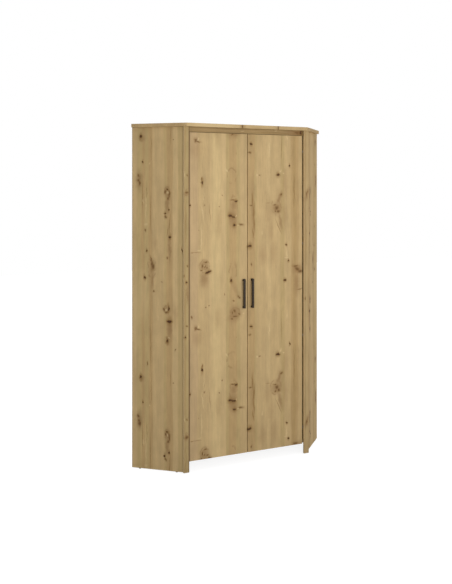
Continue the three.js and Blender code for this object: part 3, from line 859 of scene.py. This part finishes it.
def join_rings(shape, lower, upper):
    """Faces between two rings of points, where either may be a single point."""
    count = max(len(lower), len(upper))
    for index in range(count):
        after = (index + 1) % count
        corners = [lower[index % len(lower)], lower[after % len(lower)]]
        corners += [upper[after % len(upper)], upper[index % len(upper)]]
        face = list(dict.fromkeys(corners))
        if len(face) > 2:
            shape.faces.new(face)


def turn_profile(shape, matrix, profile, closed=False, segments=SEGMENTS):
    """Turns a profile of (radius, distance along the axis) points, in millimetres, about the axis."""
    rings = []
    for radius, along in profile:
        circle = arc((0, 0), radius, 0, 360, segments)[:-1] if radius else [(0, 0)]
        rings.append(add_points(shape, matrix, circle, along))
    pairs = list(zip(rings, rings[1:]))
    if closed:
        pairs.append((rings[-1], rings[0]))
    for pair in pairs:
        join_rings(shape, *pair)
    return rings


def extrude(shape, matrix, outline, low, high, rounding, steps=2):
    """A flat outline raised from one height to another, in millimetres, with its edges rounded."""
    bottom = add_points(shape, matrix, outline, low)
    top = add_points(shape, matrix, outline, high)
    ends = [shape.faces.new(bottom[::-1]), shape.faces.new(top)]
    join_rings(shape, bottom, top)
    round_edges(shape, [edge for face in ends for edge in face.edges], rounding, steps)


CORNER_STEPS = 6


def rounded_box_outline(width, length, radius):
    """A rectangle about the origin with its corners rounded."""
    points = []
    for quarter, (right, up) in enumerate(((1, 1), (-1, 1), (-1, -1), (1, -1))):
        middle = (right * (width / 2 - radius), up * (length / 2 - radius))
        points += arc(middle, radius, 90 * quarter, 90 * (quarter + 1), CORNER_STEPS)
    return points


# A screw head's side view and its cross recess, as shares of its radius and height
HEAD_PROFILE = [(0, 0), (1, 0), (1, 0.45), (0.92, 0.8), (0.75, 1)]
CROSS_ARM = 0.62
CROSS_HALF_WIDTH = 0.17
CROSS_DEPTH = 0.45
CROSS_FLOOR = 0.8  # of the cross's size at the top


def screw_head(shape, matrix, radius, height, low=0.0):
    """A pan head with a cross recess, on an axis that points out of it."""
    profile = [(radius * out, low + height * up) for out, up in HEAD_PROFILE]
    rings = turn_profile(shape, matrix, profile, segments=SCREW_SEGMENTS)
    arm = radius * CROSS_ARM
    half = radius * CROSS_HALF_WIDTH
    corner = [(arm, -half), (arm, half), (half, half)]
    turns = ((1, 0), (0, 1), (-1, 0), (0, -1))
    cross = [(x * c - y * s, x * s + y * c) for c, s in turns for x, y in corner]
    top = add_points(shape, matrix, cross, low + height)
    smaller = [(x * CROSS_FLOOR, y * CROSS_FLOOR) for x, y in cross]
    bottom = add_points(shape, matrix, smaller, low + height * (1 - CROSS_DEPTH))
    edges = []
    for loop in (rings[-1], top):
        for index, vertex in enumerate(loop):
            pair = (vertex, loop[(index + 1) % len(loop)])
            edges.append(shape.edges.get(pair) or shape.edges.new(pair))
    bmesh.ops.triangle_fill(shape, use_beauty=True, use_dissolve=False, edges=edges)
    join_rings(shape, top, bottom)
    shape.faces.new(bottom)


OUTWARD = Vector((0, -1, 0))  # out of the doors' fronts
INTO_WARDROBE = Vector((0, 1, 0))
UP = Vector((0, 0, 1))
RIGHT = Vector((1, 0, 0))

# Side views of the turned pieces. Each point is a share of the piece's radius and the millimetres added
# to it, then a share of its length and the millimetres added to that.
FOOT_GRIP = [(0, 0), (-0.8, 1), (-0.8, 3), (0, 4)]
FOOT_GRIP_HEIGHTS = (24, 30, 36, 42)
PROFILES = {
    "rod": [(0, 0, 0, 0), (1, 0, 0, 0), (1, 0, 1, 0), (0, 0, 1, 0)],
    "glide": [(0, 0, 0, 0), (0.7, 0, 0, 0), (0.93, 0, 0, 0.8), (1, 0, 0, 2), (1, 0, 1, 0), (0, 0, 1, 0)],
    "pin": [(0, 0, 0, 0), (1, -0.5, 0, 0), (1, 0, 0, 0.5), (1, 0, 1, -1), (0.6, 0, 1, -0.15), (0, 0, 1, 0)],
    "dome": [
        (0, 0, 0, 0), (1, 0, 0, 0), (1, 0, 0.4, 0), (0.85, 0, 0.75, 0), (0.5, 0, 0.95, 0), (0, 0, 1, 0),
    ],
    "cam": [(0, 0, 0, 0), (1, 0, 0, 0), (1, 0, 1, -0.8), (1, -0.4, 1, -0.6), (0, 0, 1, -0.6)],
    "screw": [(0, 0, 0, 0), (0, 2, 0, 0.5), (0, 2, 1, -2.4), (0, 0, 1, -2.4)],
    "tube": [
        (1, -1.2, 0, 0.3), (1, -0.9, 0, 0), (1, -0.3, 0, 0), (1, 0, 0, 0.3),
        (1, 0, 1, -0.3), (1, -0.3, 1, 0), (1, -0.9, 1, 0), (1, -1.2, 1, -0.3),
    ],
    "ring": [
        (0, 12.8, 0, 0.5), (0, 13.3, 0, 0), (1, -1, 0, 0), (1, 0, 0, 1),
        (1, 0, 1, -1), (1, -1, 1, 0), (0, 13.3, 1, 0), (0, 12.8, 1, -0.5),
    ],
    "cup": [
        (0, 0, 0, 0), (1, -1, 0, 0), (1, 0, 0, 1), (1, 0, 1, -0.3), (1, -0.3, 1, 0),
        (1, -0.9, 1, 0), (1, -1.4, 1, -0.8), (1, -1.4, 0, 3.4), (1, -3.4, 0, 1.4), (0, 0, 0, 1.4),
    ],
    "foot": [
        (0, 0, 0, 0), (0.8, -1.5, 0, 0), (0.8, 0, 0, 1.5), (0.8, 0, 0, 6), (0.8, -1.5, 0, 8),
        (0.5, 3, 0, 11), (0.5, 0, 0, 17),
        *((0.5, out, 0, height + up) for height in FOOT_GRIP_HEIGHTS for out, up in FOOT_GRIP),
        (0.5, 0, 1, -8), (0.5, 3, 1, -4), (1, -0.8, 1, -4), (1, 0, 1, -3.2), (1, 0, 1, 0), (0, 0, 1, 0),
    ],
}

# The heads at the far ends of the same pieces: a share of the radius, millimetres more, and the height
HEADS = {"cam": (1, -0.9, 1.2), "screw": (0, 4, 2.4)}


def side_view(kind, radius, length):
    rows = PROFILES[kind]
    return [(radius * share + more, length * part + further) for share, more, part, further in rows]


def make_turned(node, direction, kind, label, closed=False, segments=SEGMENTS):
    """A round CAD node's detailed form, from its length and its radius."""
    matrix, length, radius = axis_of(node, direction)

    def build(shape):
        turn_profile(shape, matrix, side_view(kind, radius, length), closed, segments)
        if kind in HEADS:
            share, more, height = HEADS[kind]
            screw_head(shape, matrix, radius * share + more, height, length - height)

    add_piece(f"{node}_{label}", node, build, node)


HANDLE_CORNER = 3
HANDLE_INNER_CORNER = 2.5
HANDLE_CORNER_STEPS = 5
HANDLE_EDGE = 1.2
HANDLE_LEG = 12
HANDLE_BAR = 10


def handle_outline(length, projection):
    """The bow handle's side view, as (distance along it, distance out of the door) points."""
    half = length / 2
    inner_half = half - HANDLE_LEG
    inner = (inner_half - HANDLE_INNER_CORNER, projection - HANDLE_BAR - HANDLE_INNER_CORNER)
    outer = (half - HANDLE_CORNER, projection - HANDLE_CORNER)

    def corner(right, middle, radius, first, last):
        return arc((right * middle[0], middle[1]), radius, first, last, HANDLE_CORNER_STEPS)

    return [
        (-half, 0),
        (-inner_half, 0),
        *corner(-1, inner, HANDLE_INNER_CORNER, 180, 90),
        *corner(1, inner, HANDLE_INNER_CORNER, 90, 0),
        (inner_half, 0),
        (half, 0),
        *corner(1, outer, HANDLE_CORNER, 0, 90),
        *corner(-1, outer, HANDLE_CORNER, 90, 180),
    ]


def make_handle(name):
    node = f"{name}_handle"
    low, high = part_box(node)
    size = (high - low) / MM
    start = Vector(((low.x + high.x) / 2, high.y, (low.z + high.z) / 2))
    # The outline's first axis runs up the door, its second out of it, and its thickness to the right
    matrix = placed(start, Matrix(((0, 0, 1), (0, -1, 0), (1, 0, 0))))
    outline = handle_outline(size.z, size.y)

    def build(shape):
        extrude(shape, matrix, outline, -size.x / 2, size.x / 2, HANDLE_EDGE, ROUNDING_STEPS)

    add_piece(f"{name}_bow_handle", node, build, node)
    for end in ("lower", "upper"):
        make_turned(f"{node}_screw_{end}", INTO_WARDROBE, "screw", "turned", segments=SCREW_SEGMENTS)


CUP_RADIUS = 17.2
FLANGE_WIDTH = 20
FLANGE_THICKNESS = 1.2
FLANGE_BELOW_RIM = 0.05
FLANGE_EDGE = 0.3
FLANGE_INTO_CUP = 0.6
FLANGE_CUT_STEPS = 8
FLANGE_SCREW_AT = 24  # from the middle, as the other screws' places
FLANGE_SCREW = (3.6, 1.3)  # a screw head's radius and height
HINGE_PIN = (1.6, 22)  # its radius and length
HINGE_PIN_PLACES = (-5, 4)
HINGE_PIN_DEPTH = 5
LINK_OUTLINE = (13, 11, 2)  # its width, its length and its corners' radius
LINK_ABOVE_BASE = 2.6
LINK_BELOW_RIM = 3.4
LINK_EDGE = 0.6


def wing_outline(reach_out):
    """One of the flange's two wings, from the cup's wall to its rounded outer end."""
    half = FLANGE_WIDTH / 2
    corner = FLANGE_WIDTH / 4
    start = math.degrees(math.acos(half / CUP_RADIUS))
    points = arc((0, 0), CUP_RADIUS - FLANGE_INTO_CUP, 180 - start, start, FLANGE_CUT_STEPS)
    for right, first in ((1, 0), (-1, 90)):
        middle = (right * (half - corner), reach_out - corner)
        points += arc(middle, corner, first, first + 90, CORNER_STEPS)
    return points


def make_hinge_cup(node):
    low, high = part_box(node)
    middle = (low + high) / 2
    _, depth, length = (high - low) / MM
    # The third axis points out of the cup, and the second up the door
    matrix = placed((middle.x, low.y, middle.z), Matrix(((-1, 0, 0), (0, 0, 1), (0, 1, 0))))
    flange = (depth - FLANGE_THICKNESS, depth - FLANGE_BELOW_RIM, FLANGE_EDGE)
    link = rounded_box_outline(*LINK_OUTLINE)

    def build(shape):
        turn_profile(shape, matrix, side_view("cup", CUP_RADIUS, depth))
        for turned in (0, math.pi):
            place = matrix @ Matrix.Rotation(turned, 4, "Z")
            extrude(shape, place, wing_outline(length / 2), *flange)
            screw = place @ Matrix.Translation((0, FLANGE_SCREW_AT, 0))
            screw_head(shape, screw, *FLANGE_SCREW, depth - FLANGE_THICKNESS / 2)
        for across in HINGE_PIN_PLACES:
            end = Matrix.Translation((across, -HINGE_PIN[1] / 2, depth - HINGE_PIN_DEPTH))
            lying = matrix @ end @ Matrix.Rotation(-math.pi / 2, 4, "X")
            turn_profile(shape, lying, side_view("rod", *HINGE_PIN), segments=PIN_SEGMENTS)
        extrude(shape, matrix, link, LINK_ABOVE_BASE, depth - LINK_BELOW_RIM, LINK_EDGE)

    add_piece(f"{node}_dished", node, build, node)


WING_SCREW_AT = 17
WING_SCREW = (3.6, 1.6)
SETTING_SCREW = (3.6, 1.2)
ARM_HALF_HEIGHT = 8  # the plate's wings lie beyond it, above and below the arm
ARM_ABOVE_WINGS = 7.5
ARM_ROUNDING = 0.7


def finish_hinge_arm(node, inward):
    """Rounds a hinge arm's edges, and adds its plate's two screws and the setting screw on the arm."""
    middle = middle_of(node)
    wings = [corner for corner in corners_of(node) if abs(corner.z - middle.z) > ARM_HALF_HEIGHT * MM]
    face = reach(wings, inward)[1]
    centre = sum(wings, Vector()) / len(wings)
    centre.z = middle.z

    def add_screw(shape, height, out_to, head):
        start = centre + inward * (out_to - centre.dot(inward)) + UP * height * MM
        screw_head(shape, axis_from(start, inward), *head)

    def build(shape):
        add_screw(shape, -WING_SCREW_AT, face, WING_SCREW)
        add_screw(shape, WING_SCREW_AT, face, WING_SCREW)
        add_screw(shape, 0, face + ARM_ABOVE_WINGS * MM, SETTING_SCREW)

    add_piece(f"{node}_screws", node, build)
    add_rounded(node, ARM_ROUNDING)


HOLDER_THICKNESS = 10
HOLDER_SCREW = (3.6, 1.8)
HOLDER_SCREW_AT = 19
PLATE_THICKNESS = 3
PLATE_CORNER = 6
PLATE_EDGE = 0.8
STRAP_NARROWER = 6  # than the ring
STRAP_CORNER = 1.5
STRAP_INTO_RING = 2.5
STRAP_INTO_PLATE = 1
STRAP_EDGE = 0.6


def make_rail_bracket(name):
    """A ring round the rail, a plate under the shelf, and a strap between them."""
    node = f"{name}_rail_bracket"
    low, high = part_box(node)
    size = (high - low) / MM
    middle = (low + high) / 2
    rail_height = middle_of("hanging_rail").z
    radius = (rail_height - low.z) / MM
    along = axis_from(Vector((middle.x - HOLDER_THICKNESS / 2 * MM, middle.y, rail_height)), RIGHT)
    plate_low = size.z - PLATE_THICKNESS
    strap = rounded_box_outline(HOLDER_THICKNESS, 2 * radius - STRAP_NARROWER, STRAP_CORNER)
    strap_ends = (2 * radius - STRAP_INTO_RING, plate_low + STRAP_INTO_PLATE)
    upright = placed((middle.x, middle.y, low.z), Matrix.Identity(3))

    def build(shape):
        turn_profile(shape, along, side_view("ring", radius, HOLDER_THICKNESS), closed=True)
        extrude(shape, upright, strap, *strap_ends, STRAP_EDGE)
        plate = rounded_box_outline(size.x, size.y, PLATE_CORNER)
        extrude(shape, upright, plate, plate_low, size.z, PLATE_EDGE)
        for end in (-1, 1):
            start = Vector((middle.x, middle.y, low.z + plate_low * MM))
            start.y += end * HOLDER_SCREW_AT * MM
            screw_head(shape, axis_from(start, -UP), *HOLDER_SCREW)

    add_piece(f"{name}_rail_holder", node, build, node)


HINGE_COUNT = sum(name.startswith("left_hinge_cup") for name in frame["nodes"])


def make_pieces():
    for node in BOARDS:
        add_rounded(node, BOARD_ROUNDING)
    make_turned("hanging_rail", RIGHT, "tube", "tube", closed=True, segments=RAIL_SEGMENTS)
    make_turned("middle_foot", UP, "foot", "levelling")
    make_turned("corner_glide", UP, "glide", "rounded")
    make_turned("corner_shelf_pin", OUTWARD, "pin", "rounded")
    for name, side in SIDES.items():
        inward = Vector((-side, 1, 0)).normalized()
        make_handle(name)
        make_rail_bracket(name)
        make_turned(f"{name}_door_bumper", INTO_WARDROBE, "dome", "domed")
        for number in range(1, HINGE_COUNT + 1):
            make_hinge_cup(f"{name}_hinge_cup_{number}")
            finish_hinge_arm(f"{name}_hinge_arm_{number}", inward)
        for end in ("rear", "front"):
            make_turned(f"{name}_{end}_glide", UP, "glide", "rounded")
            make_turned(f"{name}_shelf_pin_{end}", inward, "pin", "rounded")
            make_turned(f"{name}_top_cam_{end}", inward, "cam", "crossed")
            make_turned(f"{name}_floor_cam_{end}", -UP, "cam", "crossed")


WHITE = (1, 1, 1, 1)
FLOOR_GLOW = 0.88  # the floor's own white near the object, below 1 so that its shadows show faintly
FLOOR_SHEEN = (0.24, 0.24, 0.24, 1)
FLOOR_BOUNCE = (0.34, 0.34, 0.34, 1)
FLOOR_ROUGHNESS = 0.9
FLOOR_HALF_SIZE = 12
SHADOW_ENDS = (1200, 3200)  # from the middle, between which the floor goes over to plain white


def seen_directly(shader):
    """1 for rays from the camera, in reflections and through glass, and 0 for light on the object."""
    path = shader.add("LightPath", {}).outputs
    seen = shader.math("ADD", path["Is Camera Ray"], path["Is Glossy Ray"])
    return shader.math("ADD", seen, path["Is Transmission Ray"], clamp=True)


def make_floor():
    half = FLOOR_HALF_SIZE
    mesh = bpy.data.meshes.new("floor")
    corners = [(-half, -half, 0), (half, -half, 0), (half, half, 0), (-half, half, 0)]
    mesh.from_pydata(corners, [], [(0, 1, 2, 3)])
    floor = add_object("floor", mesh)
    shader = Shader(bpy.data.materials.new("floor_white"))
    seen = seen_directly(shader)
    white = shader.smooth(shader.vector("LENGTH", shader.point()), *SHADOW_ENDS, FLOOR_GLOW, 1.0)
    material = shader.finish(
        Base_Color=shader.mix(seen, FLOOR_BOUNCE, FLOOR_SHEEN),
        Roughness=FLOOR_ROUGHNESS,
        Emission_Color=WHITE,
        Emission_Strength=shader.math("MULTIPLY", seen, white),
    )
    mesh.materials.append(material)


AMBIENT = 0.29
SKY_GLOW = 0.9  # what the sky gives straight from above, beyond the ambient light
SKY_FALL = 4


def make_world():
    """White where it is seen, and a soft light from all around, brightest straight above."""
    world = bpy.data.worlds.new("studio")
    bpy.context.scene.world = world
    sky = Shader(world, "Background")
    height = sky.split(sky.add("TexCoord", {}).outputs["Generated"])[2]
    upward = sky.math("POWER", sky.math("MAXIMUM", height, 0), SKY_FALL)
    light = sky.math("MULTIPLY_ADD", upward, SKY_GLOW, AMBIENT)
    seen = seen_directly(sky)
    unseen = sky.math("MULTIPLY", sky.math("SUBTRACT", 1, seen), light)
    sky.finish(Color=WHITE, Strength=sky.math("ADD", seen, unseen))


# The softboxes' power in watts, their width and height, and their place
SOFTBOXES = {
    "key": (60, (6, 2.2), (0, -3.44, 1.7)),
    "rear": (56, (4, 2), (0, 3.4, 2.2)),
}
SOFTBOX_SPREAD = 130  # degrees


def make_softbox(name, watts, size, place):
    """A level softbox that faces the middle of the object."""
    lamp = bpy.data.lights.new(name, "AREA")
    lamp.energy = watts
    lamp.shape = "RECTANGLE"
    lamp.size, lamp.size_y = size
    lamp.spread = math.radians(SOFTBOX_SPREAD)
    softbox = add_object(name, lamp)
    softbox.location = place
    softbox.rotation_euler = (math.pi / 2, 0, math.pi if place[1] > 0 else 0)
    softbox.visible_camera = False


def make_lights():
    make_world()
    for name, look in SOFTBOXES.items():
        make_softbox(name, *look)


bpy.context.scene.view_settings.view_transform = "Standard"
make_camera()
make_lights()
make_floor()
dress_nodes()
make_pieces()
